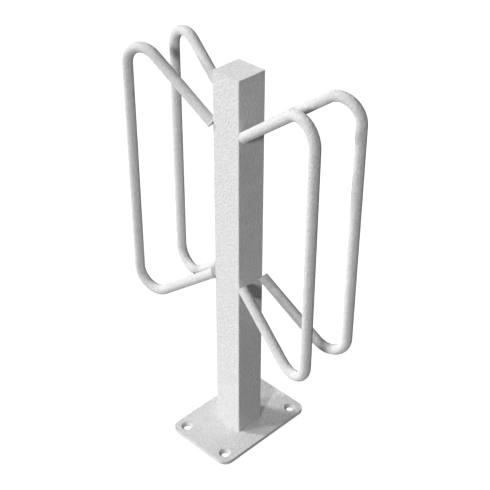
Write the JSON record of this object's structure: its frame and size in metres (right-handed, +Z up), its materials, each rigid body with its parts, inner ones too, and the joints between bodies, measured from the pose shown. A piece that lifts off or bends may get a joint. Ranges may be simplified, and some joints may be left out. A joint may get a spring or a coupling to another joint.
{
  "type": "bike parking stand",
  "caption": "Free-standing galvanised bike parking stand: square post on a bolt-down plate, with splayed round-bar hoops on both sides that hold a front wheel and take a lock.",
  "frame": {"origin": "middle of the base plate's underside, which is the bottom centre of the whole stand", "axes": "+Z up the post, +X from the post to the right-hand pair of hoops, +Y towards the rear pair; the picture is taken from between +X and -Y"},
  "size_m": [0.59, 0.3, 1.0092],
  "materials": {
    "plate_steel": "matt galvanised plate",
    "post_steel": "matt galvanised square tube",
    "bar_steel": "satin galvanised round bar",
    "weld_metal": "galvanised weld bead"
  },
  "bodies": {
    "root": {"base_plate": "plate_steel", "foot_weld": "weld_metal", "post_tube": "post_steel", "cap_plate": "post_steel", "cap_weld": "post_steel", "front_right_hoop": "bar_steel", "rear_right_hoop": "bar_steel", "front_left_hoop": "bar_steel", "rear_left_hoop": "bar_steel", "front_right_upper_weld": "weld_metal", "front_right_lower_weld": "weld_metal", "rear_right_upper_weld": "weld_metal", "rear_right_lower_weld": "weld_metal", "front_left_upper_weld": "weld_metal", "front_left_lower_weld": "weld_metal", "rear_left_upper_weld": "weld_metal", "rear_left_lower_weld": "weld_metal"}
  },
  "joints": []
}
